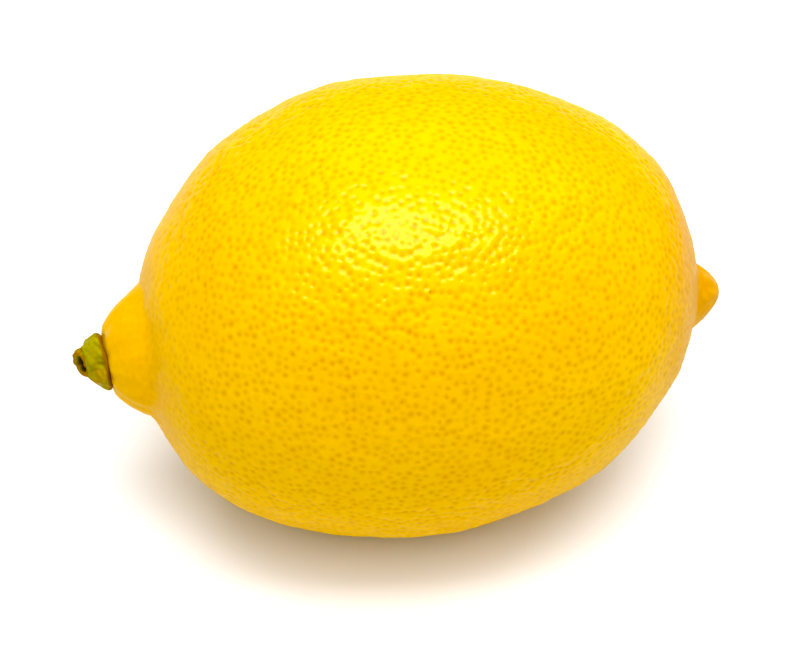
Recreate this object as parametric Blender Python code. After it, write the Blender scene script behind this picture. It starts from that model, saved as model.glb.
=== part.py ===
"""A lemon lying on its side: the fruit, its green calyx button and the cut stub of its stem.

The fruit grew as one piece, so its body, neck and nipple are one closed solid. Its outline is
computed from a few driving dimensions, spun about the X axis, bent and leaned as the real fruit
grew, and cut flat underneath where it rests. The stem end points to -X and the nipple to +X.
"""
import math

import bmesh
import bpy
from mathutils import Matrix, Vector

# ---------------------------------------------------------------- driving dimensions, in metres
BODY_RADIUS = 0.0325            # at the widest place
WIDEST_X = -0.0024              # where the body is widest, along its own axis
STEM_HALF_LENGTH = 0.0376       # from the widest place to the body's end inside the neck
NIPPLE_HALF_LENGTH = 0.0418     # from the widest place to the body's end inside the nipple
STEM_HALF_FULLNESS = 2.29       # 2 is an ellipse, more is blunter
NIPPLE_HALF_FULLNESS = 2.12
LOBE_HEIGHT = 0.004             # low lobes round the body, as a share of its radius

NECK_END_X = -0.0456            # the blunt end that carries the calyx
NECK_ROOT_X = -0.0380           # hidden inside the body
NECK_ROOT_RADIUS = 0.0099
NECK_END_RADIUS = 0.0059
NECK_ROUNDING = 3.4             # exponent of the end's rounded shoulder
NECK_CREASE = 0.0002            # width of the blend into the body on the upper side
NECK_BLEND = 0.0032             # and on the lower side
NECK_DROP = 0.0010              # how far the neck's middle lies below the fruit's axis
NECK_DROP_LENGTH = 0.006        # stretch over which it gets there
NECK_BEND_X = -0.0350           # the neck starts to bend here
NECK_BEND = 0.14                # slope of the neck's axis at the end of the bend
NECK_BEND_LENGTH = 0.010
SEAT_RADIUS = 0.0042            # shallow seat of the calyx in the neck's end
SEAT_DEPTH = 0.0004

NIPPLE_TIP_X = 0.0430
NIPPLE_ROOT_X = 0.0343          # hidden inside the body
NIPPLE_ROOT_RADIUS = 0.0062
NIPPLE_TIP_RADIUS = 0.0053
NIPPLE_ROUNDING = 1.8
NIPPLE_BLEND = 0.0008
NIPPLE_DROP = 0.0036            # how far the nipple's middle lies below the fruit's axis
NIPPLE_DROP_X = 0.032           # the rings start to move down here
NIPPLE_DROP_LENGTH = 0.005      # and have done so after this stretch

SHOULDER_DROP = 0.00065         # how far the stem end of the body sags below the fruit's axis
SHOULDER_X = -0.010             # it starts to sag here
SHOULDER_LENGTH = 0.018
STEM_END_LEAN = 0.043           # slope of the body's rings towards the neck
STEM_LEAN_X = -0.024            # the rings start to lean here
NIPPLE_END_LEAN = 0.058         # slope of the body's rings towards the nipple
NIPPLE_LEAN_X = 0.022
LEAN_LENGTH = 0.012             # stretch over which the rings come to lean, at both ends

FLAT_DEPTH = 0.0004             # depth of the flat spot that the fruit rests on
GAP = 0.0003                    # clearance between neighbouring solids

CALYX_RADIUS = 0.0041           # to the tip of a lobe
CALYX_NOTCH = 0.10              # how deep the notches between lobes are, as a share of the radius
CALYX_LOBES = 5
CALYX_HEIGHT = 0.0021
CALYX_SKEW = 0.00045            # how far its top lies above its foot, towards the upper side
DISH_RADIUS = 0.0026            # dish in the calyx that the stub stands in
DISH_DEPTH = 0.0005
LIP_WIDTH = 0.0003

STUB_RADIUS = 0.0021
STUB_HEIGHT = 0.0014
PITH_RADIUS = 0.0011            # hollow dried pith in the stub's cut end
PITH_DEPTH = 0.0006

# ------------------------------------------------------------------------- mesh resolution
STATIONS = 52                   # rings along the fruit
SEGMENTS = 56                   # faces round the fruit
BUTTON_SEGMENTS = 40            # faces round the calyx and the stub
MERGE = 1e-6

UPPER = Vector((0.0, 1.0, 1.0)).normalized()    # the side that the neck and the nipple lean away from
AXIS = Vector((1.0, 0.0, 0.0))
BESIDE = AXIS.cross(UPPER)
AXIS_HEIGHT = BODY_RADIUS - FLAT_DEPTH
BUTTON_UPPER = Vector((0.0, -1.0, 1.0)).normalized()    # the same side, seen from the calyx


# ------------------------------------------------------------------------- small helpers
def ease(value):
    """Smooth step from 0 to 1."""
    t = min(max(value, 0.0), 1.0)
    return t * t * (3.0 - 2.0 * t)


def blend_radius(a, b, width):
    """The larger of two radii, with a fillet of the given width where they meet."""
    return 0.5 * (a + b + math.hypot(a - b, width))


def share_along(x, root, end):
    """How far x lies from root towards end, held between 0 and 1."""
    return min(max((x - root) / (end - root), 0.0), 1.0)


def rounded_end(share, exponent):
    """Superelliptic cap: 1 at the root, 0 at the end."""
    return max(1.0 - share ** exponent, 0.0) ** (1.0 / exponent)


# ------------------------------------------------------------------------- the fruit's form
def body_radius(x):
    """Radius of the bare body, made of two unlike halves."""
    if x < WIDEST_X:
        share, fullness = (WIDEST_X - x) / STEM_HALF_LENGTH, STEM_HALF_FULLNESS
    else:
        share, fullness = (x - WIDEST_X) / NIPPLE_HALF_LENGTH, NIPPLE_HALF_FULLNESS
    return BODY_RADIUS * max(1.0 - share * share, 0.0) ** (1.0 / fullness)


def nipple_drop(x):
    """How far the middle of a ring has moved down to meet the nipple's middle."""
    return NIPPLE_DROP * ease((x - NIPPLE_DROP_X) / NIPPLE_DROP_LENGTH)


def seen_from_below(radius, drop, angle):
    """Radius of a round ring measured from a point that lies below its middle."""
    return drop * math.cos(angle) + math.sqrt(max(radius ** 2 - (drop * math.sin(angle)) ** 2, 0.0))


def cone_radius(x, root_x, end_x, root_radius, end_radius):
    """Radius of a neck or nipple, which shrinks away inside the body."""
    if (x - root_x) * (end_x - root_x) < 0.0:
        return max(root_radius - 2.0 * abs(x - root_x), -0.03)
    return root_radius + (end_radius - root_radius) * share_along(x, root_x, end_x)


def fruit_radius(x, angle):
    """Radius at a station and an angle, which is 0 on the upper side."""
    neck = cone_radius(x, NECK_ROOT_X, NECK_END_X, NECK_ROOT_RADIUS, NECK_END_RADIUS)
    nipple = cone_radius(x, NIPPLE_ROOT_X, NIPPLE_TIP_X, NIPPLE_ROOT_RADIUS, NIPPLE_TIP_RADIUS)
    lower = 0.5 - 0.5 * math.cos(angle)
    lobes = 0.5 * math.cos(3.0 * angle + 0.6) + 0.5 * math.cos(5.0 * angle + 2.0)
    radius = body_radius(x) * (1.0 + LOBE_HEIGHT * lobes * ease(abs(x - WIDEST_X) / STEM_HALF_LENGTH))
    radius = seen_from_below(radius, nipple_drop(x), angle)
    radius = blend_radius(radius, neck, NECK_CREASE + (NECK_BLEND - NECK_CREASE) * lower)
    radius = blend_radius(radius, nipple, NIPPLE_BLEND)
    radius *= rounded_end(share_along(x, NECK_ROOT_X, NECK_END_X), NECK_ROUNDING)
    return radius * rounded_end(share_along(x, NIPPLE_ROOT_X, NIPPLE_TIP_X), NIPPLE_ROUNDING)


def axis_drop(x):
    """How far the middle of a ring lies below the fruit's straight axis."""
    bend_length = max(NECK_BEND_X - x, 0.0)
    drop = NECK_DROP * ease(bend_length / NECK_DROP_LENGTH)
    drop += NECK_BEND * bend_length ** 2 / (2.0 * NECK_BEND_LENGTH)
    drop += SHOULDER_DROP * ease((SHOULDER_X - x) / SHOULDER_LENGTH)
    return drop + nipple_drop(x)


def ring_lean(x):
    """Slope of a ring: its upper side leans towards +X where this is negative."""
    lean = NECK_BEND * max(NECK_BEND_X - x, 0.0) / NECK_BEND_LENGTH
    lean -= STEM_END_LEAN * ease((STEM_LEAN_X - x) / LEAN_LENGTH)
    return lean - NIPPLE_END_LEAN * ease((x - NIPPLE_LEAN_X) / LEAN_LENGTH)


def seat_sink(x, radius):
    """Shallow dish in the neck's blunt end."""
    if x > NECK_ROOT_X:
        return 0.0
    return SEAT_DEPTH * (1.0 - ease((radius - 0.75 * SEAT_RADIUS) / (0.5 * SEAT_RADIUS)))


def place_on_fruit(x, radius, angle):
    """Point of the grown fruit for a station, a radius and an angle."""
    out = UPPER * math.cos(angle) + BESIDE * math.sin(angle)
    lean = ring_lean(x) * out.dot(UPPER) * radius
    along = x - lean + seat_sink(x, radius)
    middle = AXIS * along - UPPER * axis_drop(x)
    return middle + out * radius + Vector((0.0, 0.0, AXIS_HEIGHT))


def neck_end():
    """Middle of the calyx seat and the direction that the neck's end faces."""
    middle = place_on_fruit(NECK_END_X, 0.0, 0.0)
    facing = (-AXIS - UPPER * ring_lean(NECK_END_X)).normalized()
    return middle, facing


# ------------------------------------------------------------------------- building
def clear_scene():
    for old in list(bpy.data.objects):
        bpy.data.objects.remove(old, do_unlink=True)


def make_material(name, colour, roughness):
    material = bpy.data.materials.new(name)
    material.use_nodes = True
    shader = material.node_tree.nodes["Principled BSDF"]
    shader.inputs["Base Color"].default_value = (*colour, 1.0)
    shader.inputs["Roughness"].default_value = roughness
    shader.inputs["Metallic"].default_value = 0.0
    return material


def spin_outline(outline, segments):
    """Closed mesh turned about the X axis from (x, radius) points that start and end on it."""
    bm = bmesh.new()
    points = [bm.verts.new((x, 0.0, radius)) for x, radius in outline]
    edges = [bm.edges.new(pair) for pair in zip(points, points[1:])]
    bmesh.ops.spin(bm, geom=points + edges, cent=(0.0, 0.0, 0.0), axis=(1.0, 0.0, 0.0),
                   angle=2.0 * math.pi, steps=segments, use_merge=True)
    bmesh.ops.remove_doubles(bm, verts=bm.verts, dist=MERGE)
    bmesh.ops.recalc_face_normals(bm, faces=bm.faces)
    return bm


def finish_object(bm, name, material, sharp_angle=math.radians(35.0)):
    """Turn a bmesh into a named, smooth-shaded object."""
    bmesh.ops.recalc_face_normals(bm, faces=bm.faces)
    mesh = bpy.data.meshes.new(name)
    bm.to_mesh(mesh)
    bm.free()
    mesh.shade_smooth()
    mesh.set_sharp_from_angle(angle=sharp_angle)
    mesh.materials.append(material)
    piece = bpy.data.objects.new(name, mesh)
    bpy.context.scene.collection.objects.link(piece)
    return piece


def make_fruit(material):
    """Body, neck and nipple in one solid, flat where it rests."""
    middle = 0.5 * (NECK_END_X + NIPPLE_TIP_X)
    half = 0.5 * (NIPPLE_TIP_X - NECK_END_X)
    stations = [middle - half * math.cos(math.pi * step / STATIONS) for step in range(STATIONS + 1)]
    outline = [(x, fruit_radius(x, 0.0)) for x in stations]
    outline[0] = (NECK_END_X, 0.0)
    outline[-1] = (NIPPLE_TIP_X, 0.0)
    bm = spin_outline(outline, SEGMENTS)
    for vert in bm.verts:
        angle = math.atan2(vert.co.dot(BESIDE), vert.co.dot(UPPER))
        x = vert.co.x
        on_axis = math.hypot(vert.co.y, vert.co.z) < MERGE
        radius = 0.0 if on_axis else fruit_radius(x, angle)
        vert.co = place_on_fruit(x, radius, angle)
    cut = bmesh.ops.bisect_plane(bm, geom=bm.verts[:] + bm.edges[:] + bm.faces[:], dist=MERGE,
                                 plane_co=(0.0, 0.0, 0.0), plane_no=(0.0, 0.0, -1.0),
                                 clear_outer=True)
    rim = [item for item in cut["geom_cut"] if isinstance(item, bmesh.types.BMEdge)]
    bmesh.ops.edgeloop_fill(bm, edges=rim)
    return finish_object(bm, "fruit", material)


def make_calyx(material):
    """Five-lobed tapering button with a dish for the stub, modelled about X and facing +X."""
    lip = DISH_RADIUS + LIP_WIDTH
    outline = [
        (0.0, 0.0),
        (0.0, 0.95 * CALYX_RADIUS),
        (0.12 * CALYX_HEIGHT, CALYX_RADIUS),
        (0.34 * CALYX_HEIGHT, 0.99 * CALYX_RADIUS),
        (0.60 * CALYX_HEIGHT, 0.92 * CALYX_RADIUS),
        (0.84 * CALYX_HEIGHT, 0.82 * CALYX_RADIUS),
        (CALYX_HEIGHT, lip),
        (CALYX_HEIGHT - 0.5 * DISH_DEPTH, DISH_RADIUS),
        (CALYX_HEIGHT - DISH_DEPTH, 0.94 * DISH_RADIUS),
        (CALYX_HEIGHT - DISH_DEPTH, 0.0),
    ]
    bm = spin_outline(outline, BUTTON_SEGMENTS)
    for vert in bm.verts:
        radius = math.hypot(vert.co.y, vert.co.z)
        angle = math.atan2(vert.co.z, vert.co.y)
        notch = (0.5 - 0.5 * math.cos(CALYX_LOBES * angle)) ** 3
        depth = CALYX_NOTCH * notch * ease((radius - lip) / (0.5 * (CALYX_RADIUS - lip)))
        vert.co.y *= 1.0 - depth
        vert.co.z *= 1.0 - depth
        vert.co += BUTTON_UPPER * CALYX_SKEW * vert.co.x / CALYX_HEIGHT
    return finish_object(bm, "calyx", material)


def make_stem_stub(material):
    """Short cut stem with a hollow, dried pith, modelled about X and facing +X."""
    outline = [
        (0.0, 0.0),
        (0.0, 0.90 * STUB_RADIUS),
        (0.15 * STUB_HEIGHT, STUB_RADIUS),
        (0.70 * STUB_HEIGHT, 0.97 * STUB_RADIUS),
        (0.94 * STUB_HEIGHT, 0.86 * STUB_RADIUS),
        (STUB_HEIGHT, 0.70 * STUB_RADIUS),
        (STUB_HEIGHT - 0.45 * PITH_DEPTH, PITH_RADIUS),
        (STUB_HEIGHT - PITH_DEPTH, 0.55 * PITH_RADIUS),
        (STUB_HEIGHT - PITH_DEPTH, 0.0),
    ]
    bm = spin_outline(outline, BUTTON_SEGMENTS)
    return finish_object(bm, "stem_stub", material)


def centre_on_origin(root, pieces):
    """Move the whole lemon so that the middle of its outline lies over the origin."""
    bpy.context.view_layer.update()
    corners = [piece.matrix_world @ vert.co for piece in pieces for vert in piece.data.vertices]
    for side in (0, 1):
        values = [corner[side] for corner in corners]
        root.location[side] -= 0.5 * (min(values) + max(values))


def build_lemon():
    clear_scene()
    peel = make_material("lemon_peel", (0.92, 0.55, 0.015), 0.38)
    green = make_material("green_calyx", (0.36, 0.33, 0.02), 0.62)
    wood = make_material("dry_stem", (0.33, 0.22, 0.06), 0.80)

    root = bpy.data.objects.new("lemon", None)
    neck = bpy.data.objects.new("neck_end", None)
    for empty in (root, neck):
        bpy.context.scene.collection.objects.link(empty)
    neck.parent = root

    fruit = make_fruit(peel)
    fruit.parent = root

    seat, facing = neck_end()
    neck.matrix_basis = Matrix.Translation(seat) @ facing.to_track_quat("X", "Z").to_matrix().to_4x4()
    calyx = make_calyx(green)
    calyx.parent = neck
    calyx.location.x = GAP
    stub = make_stem_stub(wood)
    stub.parent = neck
    stub.location = BUTTON_UPPER * CALYX_SKEW
    stub.location.x = calyx.location.x + CALYX_HEIGHT - DISH_DEPTH + GAP

    centre_on_origin(root, [fruit, calyx, stub])


build_lemon()
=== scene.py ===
"""A whole lemon lying on its side: pitted peel, green calyx button and cut stem stub.

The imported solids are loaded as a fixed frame. Each of them is replaced by a fine mesh of the
same form at the same place. Lengths are in metres, +Z is up and the nipple points to +X.
"""
import logging
import math
from dataclasses import dataclass, field
from enum import Enum
from functools import cached_property

import bpy
import numpy as np
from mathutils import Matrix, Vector
from mathutils.kdtree import KDTree


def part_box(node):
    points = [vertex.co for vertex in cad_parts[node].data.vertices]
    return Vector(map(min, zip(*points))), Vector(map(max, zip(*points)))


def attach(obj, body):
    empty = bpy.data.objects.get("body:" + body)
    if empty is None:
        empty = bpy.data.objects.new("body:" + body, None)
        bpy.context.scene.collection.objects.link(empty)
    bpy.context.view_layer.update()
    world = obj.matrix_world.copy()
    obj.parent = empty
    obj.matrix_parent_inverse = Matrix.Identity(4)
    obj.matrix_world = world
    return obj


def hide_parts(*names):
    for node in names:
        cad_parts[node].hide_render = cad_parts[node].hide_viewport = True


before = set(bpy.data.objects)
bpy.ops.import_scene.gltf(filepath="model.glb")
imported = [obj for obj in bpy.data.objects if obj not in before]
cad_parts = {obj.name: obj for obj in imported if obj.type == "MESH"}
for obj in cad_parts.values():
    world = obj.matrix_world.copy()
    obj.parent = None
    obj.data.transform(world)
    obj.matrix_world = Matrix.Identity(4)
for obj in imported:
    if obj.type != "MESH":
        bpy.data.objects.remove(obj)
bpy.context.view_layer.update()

LOG = logging.getLogger("lemon")

AXIS = np.array([1.0, 0.0, 0.0])
UPPER = np.array([0.0, 1.0, 1.0]) / math.sqrt(2.0)
BESIDE = np.cross(AXIS, UPPER)

Colour = tuple[float, float, float]


class Slot(Enum):
    """Material slots of the record. The pieces make their own finishes and don't read these."""

    PEEL = "peel"
    CALYX = "calyx_green"
    STEM = "stem_wood"


# ---------------------------------------------------------------------------- small mathematics
def ease(value: np.ndarray) -> np.ndarray:
    """Smooth step from 0 to 1."""
    t = np.clip(value, 0.0, 1.0)
    return t * t * (3.0 - 2.0 * t)


def blend_radius(a: np.ndarray, b: np.ndarray, width: np.ndarray) -> np.ndarray:
    """The larger of two radii, with a fillet of the given width where they meet."""
    return 0.5 * (a + b + np.hypot(a - b, width))


def share_along(x: np.ndarray, root: float, end: float) -> np.ndarray:
    """How far x lies from root towards end, held between 0 and 1."""
    return np.clip((x - root) / (end - root), 0.0, 1.0)


def rounded_end(share: np.ndarray, exponent: float) -> np.ndarray:
    """Superelliptic cap: 1 at the root, 0 at the end."""
    return np.maximum(1.0 - share ** exponent, 0.0) ** (1.0 / exponent)


def bell(distance: np.ndarray, width: float) -> np.ndarray:
    """Bell curve of height 1."""
    return np.exp(-((distance / width) ** 2))


@dataclass(frozen=True)
class Undulation:
    """Smooth random relief whose swells have about one size.

    Attributes:
        wavelength: usual distance from crest to crest.
        height: standard deviation of the relief.
        seed: start of the random draws.
        waves: number of plane waves that are added up.
    """

    wavelength: float
    height: float
    seed: int
    waves: int = 28

    def at(self, points: np.ndarray) -> np.ndarray:
        """Relief at points in space.

        Args:
            points: N by 3 positions.

        Returns:
            N heights.
        """
        rng = np.random.default_rng(self.seed)
        heading = rng.normal(size=(self.waves, 3))
        heading /= np.linalg.norm(heading, axis=1, keepdims=True)
        number = 2.0 * math.pi / (self.wavelength * rng.uniform(0.75, 1.35, self.waves))
        phase = rng.uniform(0.0, 2.0 * math.pi, self.waves)
        total = np.cos(points @ (heading * number[:, None]).T + phase).sum(axis=1)
        return self.height * math.sqrt(2.0 / self.waves) * total


def smooth_through(knots: np.ndarray, count: int) -> np.ndarray:
    """Smooth curve through points that are evenly spaced along it.

    Args:
        knots: the points, one to a row.
        count: how many points to read from the curve.

    Returns:
        count points, one to a row.
    """
    where = np.linspace(0.0, len(knots) - 1.0, count)
    index = np.clip(where.astype(int), 0, len(knots) - 2)
    slope = np.gradient(knots, axis=0)
    t = (where - index)[:, None]
    start = knots[index] * (1.0 + 2.0 * t) * (1.0 - t) ** 2 + slope[index] * t * (1.0 - t) ** 2
    end = knots[index + 1] * t ** 2 * (3.0 - 2.0 * t) - slope[index + 1] * t ** 2 * (1.0 - t)
    return start + end


# ---------------------------------------------------------------------------- the fruit's form
@dataclass(frozen=True)
class FruitForm:
    """Form of the fruit, with the driving dimensions of the solid model.

    Angles run round the long axis from the upper side. Stations are distances along it.
    """

    body_radius: float = 0.0325
    widest_x: float = -0.0024
    stem_half_length: float = 0.0376
    nipple_half_length: float = 0.0418
    stem_half_fullness: float = 2.29
    nipple_half_fullness: float = 2.12
    lobe_height: float = 0.004
    neck_end_x: float = -0.0456
    neck_root_x: float = -0.0380
    neck_root_radius: float = 0.0099
    neck_end_radius: float = 0.0059
    neck_rounding: float = 3.4
    neck_crease: float = 0.0002
    neck_blend: float = 0.0032
    neck_drop: float = 0.0010
    neck_drop_length: float = 0.006
    neck_bend_x: float = -0.0350
    neck_bend: float = 0.14
    neck_bend_length: float = 0.010
    seat_radius: float = 0.0042
    seat_depth: float = 0.0004
    nipple_tip_x: float = 0.0430
    nipple_root_x: float = 0.0343
    nipple_root_radius: float = 0.0062
    nipple_tip_radius: float = 0.0053
    nipple_rounding: float = 1.8
    nipple_blend: float = 0.0008
    nipple_drop: float = 0.0036
    nipple_drop_x: float = 0.032
    nipple_drop_length: float = 0.005
    shoulder_drop: float = 0.00065
    shoulder_x: float = -0.010
    shoulder_length: float = 0.018
    stem_end_lean: float = 0.043
    stem_lean_x: float = -0.024
    nipple_end_lean: float = 0.058
    nipple_lean_x: float = 0.022
    lean_length: float = 0.012
    flat_depth: float = 0.0004

    @cached_property
    def origin(self) -> np.ndarray:
        """Where the form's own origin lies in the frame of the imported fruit."""
        low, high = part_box("fruit")
        return np.array([high[0] - self.nipple_tip_x, 0.5 * (low[1] + high[1]),
                         self.body_radius - self.flat_depth])

    def body(self, x: np.ndarray) -> np.ndarray:
        """Radius of the bare body, made of two unlike halves."""
        stem = share_along(x, self.widest_x, self.widest_x - self.stem_half_length)
        nipple = share_along(x, self.widest_x, self.widest_x + self.nipple_half_length)
        left = np.maximum(1.0 - stem ** 2, 0.0) ** (1.0 / self.stem_half_fullness)
        right = np.maximum(1.0 - nipple ** 2, 0.0) ** (1.0 / self.nipple_half_fullness)
        return self.body_radius * left * right

    @staticmethod
    def cone(x: np.ndarray, root_x: float, end_x: float, root: float, end: float) -> np.ndarray:
        """Radius of a neck or nipple, which shrinks away inside the body."""
        inside = (x - root_x) * (end_x - root_x) < 0.0
        hidden = np.maximum(root - 2.0 * np.abs(x - root_x), -0.03)
        return np.where(inside, hidden, root + (end - root) * share_along(x, root_x, end_x))

    def caps(self, x: np.ndarray) -> np.ndarray:
        """Factor that rounds off both ends."""
        neck = rounded_end(share_along(x, self.neck_root_x, self.neck_end_x), self.neck_rounding)
        nipple = share_along(x, self.nipple_root_x, self.nipple_tip_x)
        return neck * rounded_end(nipple, self.nipple_rounding)

    def uncapped_radius(self, x: np.ndarray, angle: np.ndarray) -> np.ndarray:
        """Radius at a station and an angle before the ends are rounded off."""
        neck = self.cone(x, self.neck_root_x, self.neck_end_x,
                         self.neck_root_radius, self.neck_end_radius)
        nipple = self.cone(x, self.nipple_root_x, self.nipple_tip_x,
                           self.nipple_root_radius, self.nipple_tip_radius)
        lower = 0.5 - 0.5 * np.cos(angle)
        lobes = 0.5 * np.cos(3.0 * angle + 0.6) + 0.5 * np.cos(5.0 * angle + 2.0)
        spread = ease(np.abs(x - self.widest_x) / self.stem_half_length)
        radius = self.body(x) * (1.0 + self.lobe_height * lobes * spread)
        drop = self.nipple_shift(x)
        beside = np.maximum(radius ** 2 - (drop * np.sin(angle)) ** 2, 0.0)
        radius = drop * np.cos(angle) + np.sqrt(beside)
        crease = self.neck_crease + (self.neck_blend - self.neck_crease) * lower
        return blend_radius(blend_radius(radius, neck, crease), nipple, self.nipple_blend)

    def nipple_shift(self, x: np.ndarray) -> np.ndarray:
        """How far the middle of a ring has moved down to meet the nipple's middle."""
        return self.nipple_drop * ease((x - self.nipple_drop_x) / self.nipple_drop_length)

    def axis_drop(self, x: np.ndarray) -> np.ndarray:
        """How far the middle of a ring lies below the fruit's straight axis."""
        bend = np.maximum(self.neck_bend_x - x, 0.0)
        drop = self.neck_drop * ease(bend / self.neck_drop_length)
        drop = drop + self.neck_bend * bend ** 2 / (2.0 * self.neck_bend_length)
        drop = drop + self.shoulder_drop * ease((self.shoulder_x - x) / self.shoulder_length)
        return drop + self.nipple_shift(x)

    def ring_lean(self, x: np.ndarray) -> np.ndarray:
        """Slope of a ring: its upper side leans towards +X where this is negative."""
        lean = self.neck_bend * np.maximum(self.neck_bend_x - x, 0.0) / self.neck_bend_length
        lean = lean - self.stem_end_lean * ease((self.stem_lean_x - x) / self.lean_length)
        return lean - self.nipple_end_lean * ease((x - self.nipple_lean_x) / self.lean_length)

    def seat_sink(self, x: np.ndarray, radius: np.ndarray) -> np.ndarray:
        """Shallow dish in the neck's blunt end."""
        dish = 1.0 - ease((radius - 0.75 * self.seat_radius) / (0.5 * self.seat_radius))
        return np.where(x > self.neck_root_x, 0.0, self.seat_depth * dish)

    def place(self, x: np.ndarray, radius: np.ndarray, angle: np.ndarray) -> np.ndarray:
        """Points of the grown fruit, in the frame.

        Args:
            x: stations along the long axis.
            radius: distances from the middle of the ring.
            angle: angles round it.

        Returns:
            N by 3 positions.
        """
        out = UPPER * np.cos(angle)[:, None] + BESIDE * np.sin(angle)[:, None]
        along = x - self.ring_lean(x) * np.cos(angle) * radius + self.seat_sink(x, radius)
        middle = AXIS * along[:, None] - UPPER * self.axis_drop(x)[:, None]
        return self.origin + middle + out * radius[:, None]

    def meridian(self) -> tuple[np.ndarray, np.ndarray, np.ndarray]:
        """Side outline from the neck's end to the nipple's tip.

        Returns:
            Stations, end-rounding factors and distances along the outline, as shares of it.
        """
        step = np.linspace(0.0, 1.0, 500)
        neck_length = self.neck_root_x - self.neck_end_x
        tip_length = self.nipple_tip_x - self.nipple_root_x
        neck = self.neck_end_x + neck_length * step ** self.neck_rounding
        body = np.linspace(self.neck_root_x, self.nipple_root_x, 1500)[1:-1]
        tip = (self.nipple_tip_x - tip_length * step ** self.nipple_rounding)[::-1]
        x = np.concatenate([neck, body, tip])
        caps = self.caps(x)
        radius = self.uncapped_radius(x, np.full_like(x, 0.5 * math.pi)) * caps
        along = x + self.seat_sink(x, radius)
        arc = np.concatenate([[0.0], np.cumsum(np.hypot(np.diff(along), np.diff(radius)))])
        return x, caps, arc / arc[-1]

    def surface(self, share: np.ndarray, angle: np.ndarray) -> tuple[np.ndarray, np.ndarray]:
        """Points at shares of the side outline and angles round the axis.

        Args:
            share: 0 at the neck's end, 1 at the nipple's tip.
            angle: angles round the long axis from the upper side.

        Returns:
            N by 3 positions and N stations.
        """
        stations, caps, arc = self.meridian()
        x = np.interp(share, arc, stations)
        radius = self.uncapped_radius(x, angle) * np.interp(share, arc, caps)
        return self.place(x, radius, angle), x

    def neck_frame(self) -> tuple[np.ndarray, np.ndarray, np.ndarray, np.ndarray]:
        """Middle of the calyx seat, the way the neck's end faces, and two directions across."""
        end = np.array([self.neck_end_x])
        zero = np.zeros(1)
        facing = -AXIS - UPPER * self.ring_lean(end)[0]
        facing /= np.linalg.norm(facing)
        up = UPPER - facing * (UPPER @ facing)
        up /= np.linalg.norm(up)
        return self.place(end, zero, zero)[0], facing, up, np.cross(facing, up)


# ---------------------------------------------------------------------------- mesh helpers
class GridBall:
    """Closed quad mesh of a ball, made of six square grids, which gives even cells.

    Attributes:
        directions: unit vectors of its corners.
        quads: four corner numbers for each face, outward.
        uv: position of each face corner on the bake map.
    """

    def __init__(self, cells: int) -> None:
        """Build the ball with the given number of cells along each grid."""
        ramp = np.tan(np.linspace(-1.0, 1.0, cells + 1) * math.pi / 4.0)
        part = np.linspace(0.0, 1.0, cells + 1)
        u, v = np.meshgrid(ramp, ramp, indexing="ij")
        pu, pv = np.meshgrid(part, part, indexing="ij")
        here = np.arange((cells + 1) ** 2).reshape(cells + 1, cells + 1)
        square = np.stack([here[:-1, :-1], here[1:, :-1], here[1:, 1:], here[:-1, 1:]], axis=-1)
        square = square.reshape(-1, 4)
        points, quads, uvs = [], [], []
        for number, (side, sign) in enumerate((s, g) for s in range(3) for g in (1.0, -1.0)):
            corner = np.empty((cells + 1, cells + 1, 3))
            corner[..., side] = sign
            corner[..., (side + 1) % 3] = u * sign
            corner[..., (side + 2) % 3] = v
            points.append(corner.reshape(-1, 3))
            quads.append(square + number * (cells + 1) ** 2)
            uvs.append(self.chart(number, pu, pv).reshape(-1, 2)[square])
        flat = np.concatenate(points)
        flat /= np.linalg.norm(flat, axis=1, keepdims=True)
        _, first, link = np.unique(np.round(flat * 1e6).astype(np.int64), axis=0,
                                   return_index=True, return_inverse=True)
        self.directions = flat[first]
        self.quads = link.ravel()[np.concatenate(quads)]
        self.uv = np.concatenate(uvs)

    @staticmethod
    def chart(number: int, u: np.ndarray, v: np.ndarray, margin: float = 0.02) -> np.ndarray:
        """Place one of six square charts on the bake map, three across and two up."""
        column, row = number % 3, number // 3
        across = (column + margin + (1.0 - 2.0 * margin) * u) / 3.0
        up = (row + margin + (1.0 - 2.0 * margin) * v) / 2.0
        return np.stack([across, up], axis=-1)


def neighbour_tree(points: np.ndarray) -> KDTree:
    """Tree for finding near points; they go in shuffled, which balances it much faster."""
    tree = KDTree(len(points))
    for number in np.random.default_rng(1).permutation(len(points)):
        tree.insert(points[number], number)
    tree.balance()
    return tree


def corner_normals(points: np.ndarray, quads: np.ndarray) -> np.ndarray:
    """Outward unit normals at the corners of a quad mesh."""
    across = points[quads[:, 2]] - points[quads[:, 0]]
    up = points[quads[:, 3]] - points[quads[:, 1]]
    face = np.cross(across, up)
    total = np.zeros_like(points)
    for corner in range(4):
        for side in range(3):
            total[:, side] += np.bincount(quads[:, corner], face[:, side], len(points))
    return total / np.maximum(np.linalg.norm(total, axis=1, keepdims=True), 1e-30)


def make_object(name: str, points: np.ndarray, faces: np.ndarray | list,
                material: bpy.types.Material) -> bpy.types.Object:
    """Smooth-shaded object from corners and faces.

    Args:
        name: name of the piece.
        points: N by 3 positions.
        faces: corner numbers of each face, outward.
        material: its finish.

    Returns:
        The object, linked to the scene.
    """
    mesh = bpy.data.meshes.new(name)
    if isinstance(faces, np.ndarray):
        mesh.vertices.add(len(points))
        mesh.vertices.foreach_set("co", points.astype(np.float32).ravel())
        mesh.loops.add(faces.size)
        mesh.loops.foreach_set("vertex_index", faces.astype(np.int32).ravel())
        mesh.polygons.add(len(faces))
        starts = np.arange(0, faces.size, faces.shape[1], dtype=np.int32)
        mesh.polygons.foreach_set("loop_start", starts)
        mesh.update(calc_edges=True)
    else:
        mesh.from_pydata(points.tolist(), [], faces)
    mesh.validate()
    mesh.shade_smooth()
    mesh.materials.append(material)
    piece = bpy.data.objects.new(name, mesh)
    bpy.context.scene.collection.objects.link(piece)
    return piece


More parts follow.
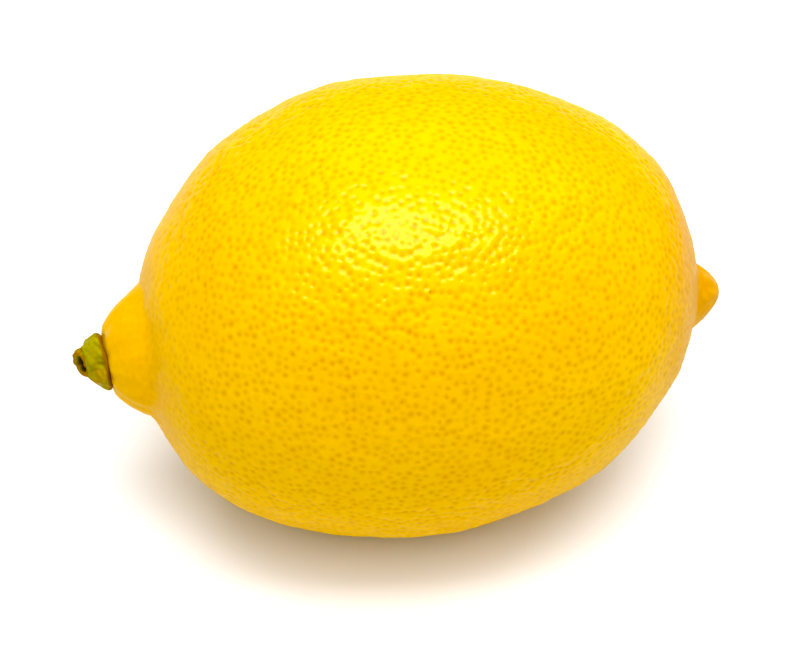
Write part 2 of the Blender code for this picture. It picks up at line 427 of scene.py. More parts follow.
def add_value(piece: bpy.types.Object, name: str, values: np.ndarray) -> None:
    """Store one number for each corner of a piece, which its material reads by name."""
    layer = piece.data.attributes.new(name, "FLOAT", "POINT")
    layer.data.foreach_set("value", values.astype(np.float32))


def stand_in(piece: bpy.types.Object, node: str) -> None:
    """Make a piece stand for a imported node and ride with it."""
    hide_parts(node)
    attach(piece, "root")
    LOG.info("%s stands for %s: %d faces", piece.name, node, len(piece.data.polygons))


# ---------------------------------------------------------------------------- finishes
class NodeBench:
    """Short ways to add and join the nodes of one material."""

    def __init__(self, name: str) -> None:
        """Start a material with its main shader."""
        self.material = bpy.data.materials.new(name)
        self.material.use_nodes = True
        self.tree = self.material.node_tree
        self.shader = self.tree.nodes["Principled BSDF"]

    def join(self, source: bpy.types.NodeSocket, target: bpy.types.NodeSocket) -> None:
        """Link two sockets."""
        self.tree.links.new(source, target)

    def value(self, name: str) -> bpy.types.NodeSocket:
        """Number that a piece stores at its corners."""
        node = self.tree.nodes.new("ShaderNodeAttribute")
        node.attribute_name = name
        return node.outputs["Fac"]

    def noise(self, size: float, detail: float = 3.0,
              roughness: float = 0.5) -> bpy.types.NodeSocket:
        """Noise whose spots are about the given size in metres."""
        where = self.tree.nodes.new("ShaderNodeTexCoord")
        node = self.tree.nodes.new("ShaderNodeTexNoise")
        node.inputs["Scale"].default_value = 1.0 / size
        node.inputs["Detail"].default_value = detail
        node.inputs["Roughness"].default_value = roughness
        self.join(where.outputs["Object"], node.inputs["Vector"])
        return node.outputs["Fac"]

    def ramp(self, source: bpy.types.NodeSocket, start: float, end: float,
             low: float = 0.0, high: float = 1.0) -> bpy.types.NodeSocket:
        """Smoothly map a number from one range to another."""
        node = self.tree.nodes.new("ShaderNodeMapRange")
        node.interpolation_type = "SMOOTHSTEP"
        node.inputs["From Min"].default_value = start
        node.inputs["From Max"].default_value = end
        node.inputs["To Min"].default_value = low
        node.inputs["To Max"].default_value = high
        self.join(source, node.inputs["Value"])
        return node.outputs["Result"]

    def math(self, operation: str, a: bpy.types.NodeSocket,
             b: bpy.types.NodeSocket | float) -> bpy.types.NodeSocket:
        """Result of one sum on two numbers."""
        node = self.tree.nodes.new("ShaderNodeMath")
        node.operation = operation
        self.join(a, node.inputs[0])
        if isinstance(b, float):
            node.inputs[1].default_value = b
        else:
            self.join(b, node.inputs[1])
        return node.outputs[0]

    def mix(self, factor: bpy.types.NodeSocket, a: bpy.types.NodeSocket | Colour,
            b: bpy.types.NodeSocket | Colour, kind: str = "MIX") -> bpy.types.NodeSocket:
        """Mix two colours, each of them a socket or a plain colour."""
        node = self.tree.nodes.new("ShaderNodeMix")
        node.data_type = "RGBA"
        node.blend_type = kind
        self.join(factor, node.inputs["Factor"])
        for socket, colour in ((node.inputs[6], a), (node.inputs[7], b)):
            if isinstance(colour, tuple):
                socket.default_value = (*colour, 1.0)
            else:
                self.join(colour, socket)
        return node.outputs[2]

    def bump(self, height: bpy.types.NodeSocket, distance: float, strength: float = 1.0) -> None:
        """Fine relief that is too small for the mesh."""
        node = self.tree.nodes.new("ShaderNodeBump")
        node.inputs["Strength"].default_value = strength
        node.inputs["Distance"].default_value = distance
        self.join(height, node.inputs["Height"])
        self.join(node.outputs["Normal"], self.shader.inputs["Normal"])

    def set(self, **sockets: float | tuple) -> None:
        """Set plain values on the main shader; underscores in names stand for spaces."""
        for name, value in sockets.items():
            self.shader.inputs[name.replace("_", " ")].default_value = value


@dataclass(frozen=True)
class PeelFinish:
    """Waxy lemon peel: saturated yellow, warmer towards both ends, darker in the gland pits,
    partly the glands' own tone and partly painted shade in the dimples.

    A trace of metallic gives part of the gloss the peel's own yellow instead of plain white.
    """

    yellow: Colour = (0.905, 0.520, 0.001)
    deep_yellow: Colour = (0.895, 0.485, 0.001)
    warm: Colour = (0.740, 0.320, 0.001)
    # Pit colour: partly the oil glands' own darker tone, partly painted shade of the dimples.
    pit_tone_and_shade: Colour = (0.690, 0.292, 0.001)
    scar: Colour = (0.180, 0.090, 0.020)
    roughness: float = 0.23
    smoothest: float = 0.2
    pit_roughness: float = 0.12
    tinted_gloss: float = 0.05
    cloud_size: float = 0.022
    fleck_size: float = 0.0012
    grain_size: float = 0.0009
    skin_size: float = 0.00035
    skin_height: float = 0.00002

    def build(self) -> bpy.types.Material:
        """Make the material.

        Returns:
            The material, which reads the peel's pit tone and painted pit shade, warmth and scar
            values.
        """
        bench = NodeBench("lemon_peel")
        cloud = bench.ramp(bench.noise(self.cloud_size, 2.0), 0.35, 0.70)
        colour = bench.mix(cloud, self.yellow, self.deep_yellow)
        colour = bench.mix(bench.value("warmth"), colour, self.warm)
        fleck = bench.ramp(bench.noise(self.fleck_size, 2.0), 0.45, 0.75, 0.0, 0.35)
        colour = bench.mix(fleck, colour, self.deep_yellow)
        # Darker pit colour: partly the glands' own tone, partly painted shade in the dimples.
        colour = bench.mix(bench.value("pit_tone_and_shade"), colour, self.pit_tone_and_shade)
        colour = bench.mix(bench.value("scar"), colour, self.scar)
        bench.join(colour, bench.shader.inputs["Base Color"])
        grain = bench.ramp(bench.noise(self.grain_size, 3.0), 0.3, 0.7, -0.05, 0.06)
        pitted = bench.ramp(bench.value("pit_tone_and_shade"), 0.0, 1.0,
                            self.roughness, self.roughness + self.pit_roughness)
        rough = bench.math("MAXIMUM", bench.math("ADD", pitted, grain), self.smoothest)
        bench.join(rough, bench.shader.inputs["Roughness"])
        bench.bump(bench.noise(self.skin_size, 3.0, 0.6), self.skin_height)
        bench.set(Metallic=self.tinted_gloss, Specular_IOR_Level=0.0,
                  Specular_Tint=(1.0, 0.85, 0.30, 1.0),
                  Subsurface_Weight=0.04, Subsurface_Scale=0.001,
                  Subsurface_Radius=(1.0, 0.5, 0.05), Coat_Weight=0.28, Coat_Roughness=0.24,
                  Sheen_Weight=0.14, Sheen_Roughness=0.35, Sheen_Tint=(1.0, 0.95, 0.65, 1.0))
        return bench.material


@dataclass(frozen=True)
class CalyxFinish:
    """Leathery calyx: yellow-green, olive in patches and brown where it has dried."""

    green: Colour = (0.335, 0.295, 0.004)
    olive: Colour = (0.270, 0.210, 0.003)
    tan: Colour = (0.400, 0.220, 0.006)
    brown: Colour = (0.230, 0.080, 0.003)
    roughness: float = 0.58
    patch_size: float = 0.0026
    blotch_size: float = 0.0016
    grain_size: float = 0.0006
    skin_size: float = 0.0003
    skin_height: float = 0.00006

    def build(self) -> bpy.types.Material:
        """Make the material.

        Returns:
            The material, which reads the button's lower and dry values.
        """
        bench = NodeBench("green_calyx")
        patch = bench.ramp(bench.noise(self.patch_size, 3.0), 0.42, 0.66, 0.0, 0.8)
        colour = bench.mix(patch, self.green, self.olive)
        blotch = bench.ramp(bench.noise(self.blotch_size, 3.0), 0.30, 0.66)
        dry = bench.math("MULTIPLY", blotch, bench.value("lower"))
        colour = bench.mix(dry, colour, self.tan)
        colour = bench.mix(bench.value("dry"), colour, self.brown)
        bench.join(colour, bench.shader.inputs["Base Color"])
        rough = bench.ramp(bench.noise(self.grain_size, 2.0), 0.3, 0.7,
                           self.roughness - 0.08, self.roughness + 0.12)
        bench.join(rough, bench.shader.inputs["Roughness"])
        bench.bump(bench.noise(self.skin_size, 4.0, 0.65), self.skin_height)
        bench.set(Specular_IOR_Level=0.18)
        return bench.material


@dataclass(frozen=True)
class StemFinish:
    """Cut stem: olive bark, tan wood rings and a dark hollow where the pith has dried."""

    bark: Colour = (0.260, 0.225, 0.006)
    wood: Colour = (0.380, 0.270, 0.022)
    ring: Colour = (0.360, 0.130, 0.006)
    pith: Colour = (0.020, 0.014, 0.003)
    roughness: float = 0.78
    streak_size: float = 0.0006
    skin_size: float = 0.0002
    skin_height: float = 0.00006

    def build(self) -> bpy.types.Material:
        """Make the material.

        Returns:
            The material, which reads the stub's cut, ring and pith values.
        """
        bench = NodeBench("cut_stem")
        streak = bench.ramp(bench.noise(self.streak_size, 4.0, 0.6), 0.40, 0.65)
        bark = bench.mix(streak, self.bark, self.ring)
        wood = bench.mix(streak, self.wood, self.ring)
        colour = bench.mix(bench.value("cut"), bark, wood)
        colour = bench.mix(bench.value("ring"), colour, self.ring)
        colour = bench.mix(bench.value("pith"), colour, self.pith)
        bench.join(colour, bench.shader.inputs["Base Color"])
        bench.bump(bench.noise(self.skin_size, 4.0, 0.65), self.skin_height)
        rough = bench.ramp(streak, 0.0, 1.0, self.roughness, self.roughness + 0.12)
        bench.join(rough, bench.shader.inputs["Roughness"])
        bench.set(Specular_IOR_Level=0.18)
        return bench.material


@dataclass(frozen=True)
class FloorFinish:
    """Plain white table that throws only part of its light back onto the fruit."""

    white: Colour = (0.81, 0.81, 0.81)
    bounce: Colour = (0.66, 0.66, 0.66)
    glow: float = 0.02
    cloud_size: float = 0.4

    def build(self) -> bpy.types.Material:
        """Make the material.

        Returns:
            The material of the floor, which is staged and not part of the lemon.
        """
        bench = NodeBench("studio_floor")
        soft = bench.ramp(bench.noise(self.cloud_size, 1.0), 0.0, 1.0, 0.60, 0.70)
        bench.join(soft, bench.shader.inputs["Roughness"])
        path = bench.tree.nodes.new("ShaderNodeLightPath")
        shade = bench.mix(path.outputs["Is Camera Ray"], self.bounce, self.white)
        bench.join(shade, bench.shader.inputs["Base Color"])
        bench.set(Specular_IOR_Level=0.1,
                  Emission_Color=(*self.white, 1.0), Emission_Strength=self.glow)
        return bench.material


# ---------------------------------------------------------------------------- the peel
@dataclass(frozen=True)
class OilGlands:
    """Pits over the oil glands, spread evenly but never in rows."""

    count: int = 9200
    radius: float = 0.00062
    depth: float = 0.00013
    jitter: float = 0.38
    settle_rounds: int = 6
    crowding: float = 0.95
    push_share: float = 0.25
    rim_height: float = 0.16
    rim_place: float = 1.35
    seed: int = 11

    def scatter(self, form: FruitForm) -> np.ndarray:
        """Spread the glands over the fruit.

        Args:
            form: the fruit that they lie on.

        Returns:
            count by 3 positions on its surface.
        """
        rng = np.random.default_rng(self.seed)
        share = np.linspace(0.0, 1.0, 2001)
        quarter = np.full_like(share, 0.5 * math.pi)
        rim, _ = form.surface(share, quarter)
        middle, _ = form.surface(share, -quarter)
        girth = 0.5 * np.linalg.norm(rim - middle, axis=1)
        step = np.linalg.norm(np.diff(rim, axis=0), axis=1)
        area = np.concatenate([[0.0], np.cumsum(0.5 * (girth[1:] + girth[:-1]) * step)])
        spacing = math.sqrt(2.0 * math.pi * area[-1] / self.count)
        turn = math.pi * (3.0 - math.sqrt(5.0))
        order = (np.arange(self.count) + 0.5) / self.count
        along = np.interp(order * area[-1], area, share)
        angle = np.arange(self.count) * turn
        along += rng.normal(0.0, self.jitter * spacing / step.sum(), self.count)
        reach = np.maximum(np.interp(along, share, girth), 0.5 * spacing)
        angle += rng.normal(0.0, self.jitter * spacing / reach)
        along = np.clip(along, 0.0, 1.0)
        for _ in range(self.settle_rounds):
            along, angle = self.settle(form, along, angle, spacing, step.sum(), share, girth)
        return form.surface(along, angle)[0]

    def settle(self, form: FruitForm, along: np.ndarray, angle: np.ndarray, spacing: float,
               length: float, share: np.ndarray,
               girth: np.ndarray) -> tuple[np.ndarray, np.ndarray]:
        """Move glands that crowd each other a little apart.

        Args:
            form: the fruit that they lie on.
            along: where they lie on the side outline, as shares of it.
            angle: their angles round the long axis.
            spacing: usual distance between neighbours.
            length: length of the side outline.
            share: places on the side outline where the girth is known.
            girth: distance from the long axis at those places.

        Returns:
            The new shares and angles.
        """
        near = self.crowding * spacing
        points = form.surface(along, angle)[0]
        tree = neighbour_tree(points)
        push = np.zeros_like(points)
        for number, point in enumerate(points):
            for other, _, gap in tree.find_range(point, near):
                if gap > 0.0:
                    away = point - np.array(other)
                    push[number] += away / gap * self.push_share * (near - gap)
        ahead = form.surface(np.minimum(along + 1e-4, 1.0), angle)[0] - points
        ahead /= np.maximum(np.linalg.norm(ahead, axis=1, keepdims=True), 1e-12)
        across = form.surface(along, angle + 1e-3)[0] - points
        across /= np.maximum(np.linalg.norm(across, axis=1, keepdims=True), 1e-12)
        reach = np.maximum(np.interp(along, share, girth), 0.5 * spacing)
        along = np.clip(along + (push * ahead).sum(axis=1) / length, 0.0, 1.0)
        return along, angle + (push * across).sum(axis=1) / reach

    def press(self, points: np.ndarray, glands: np.ndarray) -> tuple[np.ndarray, np.ndarray]:
        """Pits as depths and as darkness at the corners of a mesh.

        Args:
            points: N corners of the smooth peel.
            glands: where the pits are.

        Returns:
            N depths and N shares of the darker pit colour, which is partly the glands' own tone
            and partly painted shade in the dimples.
        """
        rng = np.random.default_rng(self.seed + 1)
        size = self.radius * rng.uniform(0.72, 1.18, len(glands))
        strength = rng.beta(3.6, 2.2, len(glands))
        tree = neighbour_tree(points)
        depth = np.zeros(len(points))
        dark = np.zeros(len(points))
        for gland, radius, power in zip(glands, size, strength):
            found = tree.find_range(gland, 2.0 * radius)
            if not found:
                continue
            index = np.array([item[1] for item in found])
            gap = np.array([item[2] for item in found]) / radius
            rim = self.rim_height * np.exp(-4.0 * (gap - self.rim_place) ** 2)
            hollow = np.exp(-1.6 * gap ** 2) - rim
            depth[index] += (0.35 + 0.65 * power) * hollow
            # Pit darkening: partly the glands' own tone, partly painted shade in the dimples.
            dark[index] = np.maximum(dark[index], (0.15 + 0.85 * power) * np.exp(-2.5 * gap ** 2))
        return self.depth * depth, dark


@dataclass
class Peel:
    """The fruit in its peel, with neck, nipple, gland pits and the scar at the nipple's tip.

    Each of warm_stem, warm_neck and warm_nipple is the station where the warmer yellow starts,
    the length over which it grows, and its full share.
    """

    form: FruitForm
    finish: PeelFinish = field(default_factory=PeelFinish)
    glands: OilGlands = field(default_factory=OilGlands)
    cells: int = 240
    lumps: Undulation = Undulation(0.016, 0.00007, 3)
    swells: Undulation = Undulation(0.0048, 0.000034, 4)
    ripples: Undulation = Undulation(0.0019, 0.000016, 5)
    furrows: int = 9
    furrow_depth: float = 0.00022
    scar_radius: float = 0.0009
    scar_depth: float = 0.0003
    speck_share: float = 0.487
    speck_angle: float = 1.52
    speck_radius: float = 0.00028
    speck_height: float = 0.00012
    speck_darkness: float = 0.55
    flat_edge: float = 0.0002
    flat_fade: float = 0.0016
    neck_fade: float = 0.017
    nipple_fade: float = 0.008
    neck_pits: float = 0.20
    nipple_pits: float = 0.30
    furrow_start: float = 0.0006
    furrow_overlap: float = 0.004
    furrow_fade: float = 0.010
    tip_furrow_x: float = 0.0385
    tip_furrow_rise: float = 0.002
    tip_furrow_end: float = 0.001
    tip_furrow_share: float = 0.7
    warm_stem: tuple[float, float, float] = (-0.018, 0.026, 0.14)
    warm_neck: tuple[float, float, float] = (-0.0355, 0.0040, 0.26)
    warm_nipple: tuple[float, float, float] = (0.026, 0.014, 1.1)
    warm_shoulder: float = 0.15
    warm_cloud: Undulation = Undulation(0.020, 1.0, 6)
    warm_cloud_share: float = 0.04

    def build(self) -> bpy.types.Object:
        """Make the peel's mesh and dress it.

        Returns:
            The piece that stands for the fruit.
        """
        ball = GridBall(self.cells)
        share = np.arccos(np.clip(-ball.directions @ AXIS, -1.0, 1.0)) / math.pi
        angle = np.arctan2(ball.directions @ BESIDE, ball.directions @ UPPER)
        smooth, station = self.form.surface(share, angle)
        quads = ball.quads
        outward = corner_normals(smooth, quads)
        sinks, dark = self.glands.press(smooth, self.glands.scatter(self.form))
        off_flat = ease((smooth[:, 2] - self.flat_edge) / self.flat_fade)
        fine = self.swells.at(smooth) + self.ripples.at(smooth) - sinks
        height = self.lumps.at(smooth) + fine * self.off_ends(station)
        height -= self.furrow_relief(station, angle)
        points = smooth + outward * (height * off_flat)[:, None]
        scar = self.scar(points)
        points -= outward * (self.scar_depth * scar)[:, None]
        speck = self.speck(smooth)
        points += outward * (self.speck_height * speck)[:, None]
        points[:, 2] = np.maximum(points[:, 2], 0.0)
        piece = make_object("lemon_peel", points, quads, self.finish.build())
        layer = piece.data.uv_layers.new(name="OFBake")
        layer.data.foreach_set("uv", ball.uv.astype(np.float32).ravel())
        # Pit darkening, partly gland tone and partly painted shade in the dimples.
        add_value(piece, "pit_tone_and_shade", dark * self.off_ends(station))
        add_value(piece, "warmth", self.warmth(station, smooth))
        add_value(piece, "scar", np.maximum(scar, speck))
        stand_in(piece, "fruit")
        return piece

    def off_ends(self, station: np.ndarray) -> np.ndarray:
        """Pits are shallower on the neck and the nipple."""
        neck = ease((station - self.form.neck_end_x) / self.neck_fade)
        nipple = ease((self.form.nipple_tip_x - station) / self.nipple_fade)
        on_neck = self.neck_pits + (1.0 - self.neck_pits) * neck
        return on_neck * (self.nipple_pits + (1.0 - self.nipple_pits) * nipple)

    def furrow_relief(self, station: np.ndarray, angle: np.ndarray) -> np.ndarray:
        """Shallow furrows that run from the calyx over the neck and fade on the shoulder."""
        wander = 0.35 * np.sin(2.0 * angle + 1.0) + 0.2 * np.sin(5.0 * angle)
        wave = (0.5 + 0.5 * np.cos(self.furrows * angle + 2.0 * wander)) ** 2
        start = ease((station - self.form.neck_end_x) / self.furrow_start)
        beyond = station - self.form.neck_root_x + self.furrow_overlap
        fade = 1.0 - ease(beyond / self.furrow_fade)
        rise = ease((station - self.tip_furrow_x) / self.tip_furrow_rise)
        tip = rise * ease((self.form.nipple_tip_x - station) / self.tip_furrow_end)
        return self.furrow_depth * wave * (start * fade + self.tip_furrow_share * tip)

    def warmth(self, station: np.ndarray, points: np.ndarray) -> np.ndarray:
        """Share of warmer yellow: none at the middle, most on the neck and the nipple."""
        stem_x, stem_length, stem_share = self.warm_stem
        neck_x, neck_length, neck_share = self.warm_neck
        nipple_x, nipple_length, nipple_share = self.warm_nipple
        stem = ease((stem_x - station) / stem_length)
        neck = ease((neck_x - station) / neck_length)
        nipple = ease((station - nipple_x) / nipple_length)
        cloud = self.warm_cloud_share * self.warm_cloud.at(points)
        ends = stem_share * stem + neck_share * neck + nipple_share * nipple ** 2
        return np.clip(ends + self.warm_shoulder * nipple + cloud, 0.0, 1.0)

    def speck(self, points: np.ndarray) -> np.ndarray:
        """One tiny dry speck on the upper front of the body."""
        where = self.form.surface(np.array([self.speck_share]), np.array([self.speck_angle]))[0]
        gap = np.linalg.norm(points - where, axis=1)
        inner, fade = 0.4 * self.speck_radius, 0.8 * self.speck_radius
        return self.speck_darkness * (1.0 - ease((gap - inner) / fade))

    def scar(self, points: np.ndarray) -> np.ndarray:
        """Small round scar where the flower's style dropped off the nipple's tip."""
        tip = points[np.argmax(points[:, 0])]
        gap = np.linalg.norm(points - tip, axis=1)
        return 1.0 - ease((gap - 0.55 * self.scar_radius) / (0.6 * self.scar_radius))


# ---------------------------------------------------------------------------- the stem end
@dataclass
class Turning:
    """A turned piece on the neck's end, whose rings may be lobed and wrinkled."""

    form: FruitForm
    segments: int = 180

    def angles(self) -> np.ndarray:
        """Angles of the segments round the piece."""
        return np.arange(self.segments) * 2.0 * math.pi / self.segments

    def mesh(self, heights: np.ndarray, radii: np.ndarray) -> tuple[np.ndarray, list]:
        """Close a grid of rings into a solid.

        Args:
            heights: rings by segments, distances out from the calyx seat.
            radii: rings by segments, distances from the piece's axis.

        Returns:
            Corner positions and outward faces. The first and last rings close on a point.
        """
        seat, facing, up, beside = self.form.neck_frame()
        around = up * np.cos(self.angles())[:, None] + beside * np.sin(self.angles())[:, None]
        grid = seat + facing * heights[..., None] + around * radii[..., None]
        ends = [grid[0].mean(axis=0), grid[-1].mean(axis=0)]
        rings, count = heights.shape
        points = np.concatenate([grid.reshape(-1, 3), ends])
        faces = []
        for ring in range(rings - 1):
            for here in range(count):
                there = (here + 1) % count
                faces.append((ring * count + here, ring * count + there,
                              (ring + 1) * count + there, (ring + 1) * count + here))
        last = (rings - 1) * count
        for here in range(count):
            there = (here + 1) % count
            faces.append((rings * count, there, here))
            faces.append((rings * count + 1, last + here, last + there))
        return points, faces


@dataclass
class CalyxButton(Turning):
    """Five short sepals grown together into a tapering button on the neck's end."""

    finish: CalyxFinish = field(default_factory=CalyxFinish)
    radius: float = 0.00415
    height: float = 0.0026
    skew: float = 0.00045
    lobes: int = 5
    notch: float = 0.06
    dish_radius: float = 0.0018
    dish_edge: float = 0.0006
    tip_lift: float = 0.00030
    notch_tuck: float = 0.00035
    tuck_radius: float = 0.0030
    tuck_width: float = 0.0010
    dry_edge: float = 0.03
    dry_fade: float = 0.12
    rings: int = 100
    folds: Undulation = Undulation(0.0026, 0.00018, 21)
    wrinkles: Undulation = Undulation(0.0010, 0.00005, 22)

    def build(self) -> bpy.types.Object:
        """Make the button and dress it.

        Returns:
            The piece that stands for the calyx.
        """
        outline = self.outline()
        angle = self.angles()[None, :]
        tip = 0.5 + 0.5 * np.cos(self.lobes * (angle - 0.35) + 0.6 * np.sin(2.0 * angle))
        reach, high = outline[:, 1][:, None], outline[:, 0][:, None]
        outer = ease((reach - self.dish_radius) / (self.radius - self.dish_radius))
        radii = reach * (1.0 - self.notch * (1.0 - tip) ** 2 * outer)
        foot = 1.0 - ease(high / (0.5 * self.height))
        heights = high + self.tip_lift * (tip - 0.4) * outer * (1.0 - foot)
        tuck = foot * ease((reach - self.tuck_radius) / self.tuck_width)
        heights = heights - self.notch_tuck * (1.0 - tip) * tuck
        points, faces = self.mesh(heights, radii)
        seat, facing, up, _ = self.form.neck_frame()
        local = points - seat
        rise = np.clip(local @ facing / self.height, 0.0, 1.2)
        out = local - (local @ facing)[:, None] * facing
        out /= np.maximum(np.linalg.norm(out, axis=1, keepdims=True), 1e-9)
        relief = (self.folds.at(points) + self.wrinkles.at(points)) * ease(rise / 0.25)
        points = points + (out + 0.4 * facing) * relief[:, None] + up * (self.skew * rise)[:, None]
        piece = make_object("calyx_button", points, faces, self.finish.build())
        far = np.append(np.repeat(outline[:, 1], self.segments), [0.0, 0.0])
        inside = (1.0 - ease((far - self.dish_radius) / self.dish_edge)) * ease(rise / 0.5)
        edge = 1.0 - ease((rise - self.dry_edge) / self.dry_fade)
        add_value(piece, "dry", np.clip(0.95 * edge + 0.85 * inside, 0.0, 1.0))
        add_value(piece, "lower", 0.5 - 0.5 * np.tanh((out @ up + 0.15) / 0.35))
        stand_in(piece, "calyx")
        return piece

    def outline(self) -> np.ndarray:
        """Height and radius of each ring, from under the button to the middle of its dish."""
        dish = self.dish_radius / self.radius
        knots = np.array([
            (-0.10, 0.20), (-0.10, 0.80), (-0.02, 0.94), (0.08, 1.00), (0.24, 0.97), (0.42, 0.90),
            (0.60, 0.81), (0.77, 0.71), (0.92, 0.61), (1.00, dish + 0.10), (0.98, dish + 0.04),
            (0.90, dish), (0.84, dish - 0.08), (0.84, 0.10)])
        return smooth_through(knots, self.rings) * np.array([self.height, self.radius])


@dataclass
class CutStem(Turning):
    """Short stub of the fruit's stem, cut across, with a hollow where the pith has dried."""

    finish: StemFinish = field(default_factory=StemFinish)
    radius: float = 0.0021
    foot: float = 0.0018
    height: float = 0.0035
    shift: float = 0.00045
    pith_radius: float = 0.0013
    pith_depth: float = 0.0010
    pith_offset: float = 0.0002
    cut_slant: float = 0.0008
    cut_side: float = -2.0
    rings: int = 80
    ridges: Undulation = Undulation(0.0010, 0.00007, 31)
    grain: Undulation = Undulation(0.0004, 0.00003, 32)

    def build(self) -> bpy.types.Object:
        """Make the stub and dress it.

        Returns:
            The piece that stands for the stem stub.
        """
        tall = self.height - self.foot
        knots = np.array([
            (0.00, 0.20), (0.00, 0.80), (0.02, 0.98), (0.15, 1.03), (0.40, 1.02), (0.62, 1.00),
            (0.80, 0.97), (0.93, 0.90), (1.00, 0.78), (0.99, 0.60), (0.97, 0.40), (0.96, 0.10)])
        outline = smooth_through(knots, self.rings)
        high = self.foot + tall * outline[:, 0]
        wide = self.radius * outline[:, 1]
        angle = self.angles()[None, :]
        ribs = 1.0 + 0.03 * np.cos(7.0 * angle + 0.4) + 0.04 * np.cos(3.0 * angle + 1.5)
        slant = (wide / self.radius * ease((high - self.foot) / tall))[:, None]
        tilt = slant * np.cos(angle - self.cut_side)
        points, faces = self.mesh(high[:, None] - self.cut_slant * tilt, wide[:, None] * ribs)
        seat, facing, up, beside = self.form.neck_frame()
        local = points - seat
        flat = local - (local @ facing)[:, None] * facing
        to_pith = up * math.cos(self.cut_side) + beside * math.sin(self.cut_side)
        gap = np.linalg.norm(flat - to_pith * self.pith_offset, axis=1)
        cut = ease((np.append(np.repeat(outline[:, 0], self.segments), [0.0, 1.0]) - 0.86) / 0.10)
        hollow = (1.0 - ease((gap - 0.45 * self.pith_radius) / (0.75 * self.pith_radius))) * cut
        relief = self.ridges.at(points) + self.grain.at(points) - self.pith_depth * hollow
        points = points + facing * relief[:, None] + up * self.shift
        reach = np.linalg.norm(flat, axis=1) / self.radius
        piece = make_object("cut_stem", points, faces, self.finish.build())
        add_value(piece, "cut", cut)
        add_value(piece, "ring", bell(reach - 0.80, 0.14) * cut)
        add_value(piece, "pith", ease(1.7 * hollow))
        stand_in(piece, "stem_stub")
        return piece


# ---------------------------------------------------------------------------- studio
@dataclass(frozen=True)
class Softbox:
    """Rectangular studio light.

    Attributes:
        name: name of the lamp.
        azimuth: compass side that it stands on, in degrees; 0 is the -Y side.
        elevation: degrees above the floor.
        distance: from the fruit.
        size: width and depth.
        radiance: brightness of its face.
    """

    name: str
    azimuth: float
    elevation: float
    distance: float
    size: tuple[float, float]
    radiance: float

    def build(self, target: Vector) -> bpy.types.Object:
        """Hang the light so that it faces the target."""
        lamp = bpy.data.lights.new(self.name, "AREA")
        lamp.shape = "RECTANGLE"
        lamp.size, lamp.size_y = self.size
        lamp.energy = self.radiance * self.size[0] * self.size[1] * math.pi
        light = bpy.data.objects.new(self.name, lamp)
        back = view_direction(self.azimuth, self.elevation)
        light.location = target + back * self.distance
        light.rotation_mode = "QUATERNION"
        light.rotation_quaternion = (-back).to_track_quat("-Z", "Y")
        bpy.context.scene.collection.objects.link(light)
        return light

    def shine_on(self, receiver: bpy.types.Object, target: Vector) -> None:
        """Hang the light so that it reaches only one object."""
        light = self.build(target)
        lit = bpy.data.collections.new(self.name + "_lit")
        lit.objects.link(receiver)
        light.light_linking.receiver_collection = lit


def view_direction(azimuth: float, elevation: float) -> Vector:
    """Unit vector towards a viewer; azimuth 0 looks along +Y, in degrees."""
    a, e = math.radians(azimuth), math.radians(elevation)
    return Vector((math.sin(a) * math.cos(e), -math.cos(a) * math.cos(e), math.sin(e)))


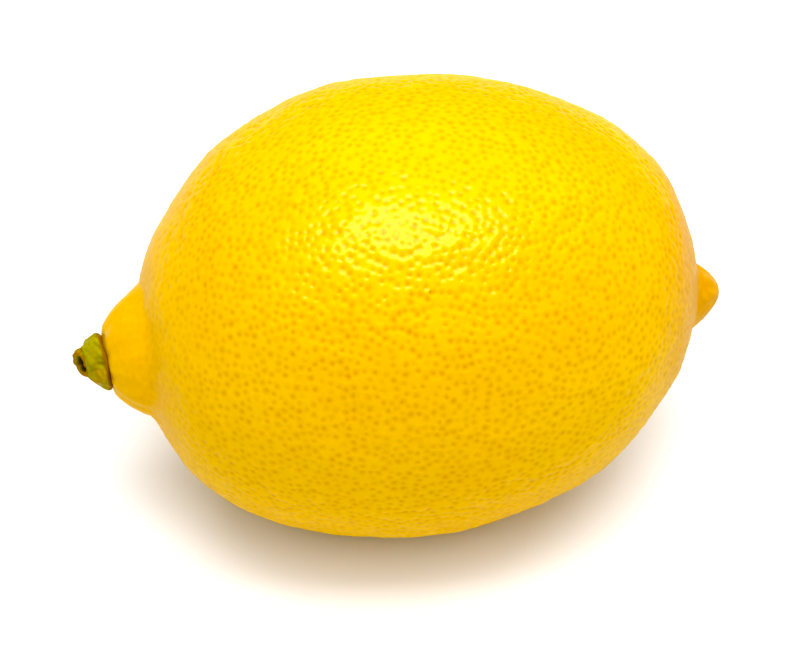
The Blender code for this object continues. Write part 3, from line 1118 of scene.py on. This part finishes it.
@dataclass
class Studio:
    """White floor, soft lights and the camera."""

    floor_size: float = 2.4
    world: float = 0.08
    backdrop: float = 1.0
    azimuth: float = -10.8
    elevation: float = 45.0
    distance: float = 0.477
    lens: float = 152.0
    aim_left: float = 0.0029
    aim_down: float = 0.0029
    sensor: float = 36.0
    floor_gap: float = 0.00002
    blue_depth: float = 0.040
    softboxes: tuple[Softbox, ...] = (
        Softbox("key_softbox", -10.0, 81.5, 1.0, (0.84, 0.40), 8.4),
        Softbox("top_softbox", 150.0, 70.0, 1.9, (2.6, 2.2), 2.05),
        Softbox("front_softbox", -10.0, 66.0, 1.6, (2.2, 1.2), 1.00),
    )
    floor_softbox: Softbox = Softbox("floor_softbox", -8.0, 58.0, 1.6, (2.5, 1.1), 2.5)

    def build(self, form: FruitForm) -> None:
        """Set up everything that isn't part of the lemon."""
        target = Vector(form.origin)
        floor = self.add_floor()
        self.add_world()
        for softbox in self.softboxes:
            softbox.build(target)
        self.floor_softbox.shine_on(floor, target)
        self.add_camera(target)
        self.grade()

    def grade(self) -> None:
        """Develop the picture with clean whites and slightly deepened blues."""
        view = bpy.context.scene.view_settings
        view.view_transform = "Standard"
        view.use_curve_mapping = True
        view.curve_mapping.black_level = (0.0, 0.0, self.blue_depth)
        view.curve_mapping.update()

    def add_floor(self) -> bpy.types.Object:
        """Lay the floor just under the resting plane."""
        half = 0.5 * self.floor_size
        corners = np.array([(-half, -half), (half, -half), (half, half), (-half, half)])
        points = np.column_stack([corners, np.full(4, -self.floor_gap)])
        floor = make_object("studio_floor", points, [(0, 1, 2, 3)], FloorFinish().build())
        return floor

    def add_world(self) -> None:
        """Fill the room with dim, even light."""
        world = bpy.data.worlds.new("studio_room")
        bpy.context.scene.world = world
        world.use_nodes = True
        tree = world.node_tree
        shade = tree.nodes["Background"]
        shade.inputs["Color"].default_value = (1.0, 1.0, 1.0, 1.0)
        path = tree.nodes.new("ShaderNodeLightPath")
        seen = tree.nodes.new("ShaderNodeMapRange")
        seen.inputs["To Min"].default_value = self.world
        seen.inputs["To Max"].default_value = self.backdrop
        tree.links.new(path.outputs["Is Camera Ray"], seen.inputs["Value"])
        tree.links.new(seen.outputs["Result"], shade.inputs["Strength"])

    def add_camera(self, target: Vector) -> None:
        """Look down on the lemon from the front, a little from its stem end."""
        back = view_direction(self.azimuth, self.elevation)
        turn = math.radians(self.azimuth)
        right = Vector((math.cos(turn), math.sin(turn), 0.0))
        up = back.cross(right)
        lens = bpy.data.cameras.new("camera")
        lens.lens = self.lens
        lens.sensor_width = self.sensor
        lens.clip_start, lens.clip_end = 0.01, 20.0
        camera = bpy.data.objects.new("camera", lens)
        camera.location = target + back * self.distance
        aim = target - right * self.aim_left - up * self.aim_down
        look = aim - camera.location
        camera.rotation_mode = "QUATERNION"
        camera.rotation_quaternion = look.to_track_quat("-Z", "Y")
        bpy.context.scene.collection.objects.link(camera)
        bpy.context.scene.camera = camera


def main() -> None:
    """Build the lemon and its studio."""
    logging.basicConfig(level=logging.INFO, format="%(message)s")
    form = FruitForm()
    Studio().build(form)
    Peel(form).build()
    CalyxButton(form).build()
    CutStem(form).build()


if __name__ == "__main__":
    main()
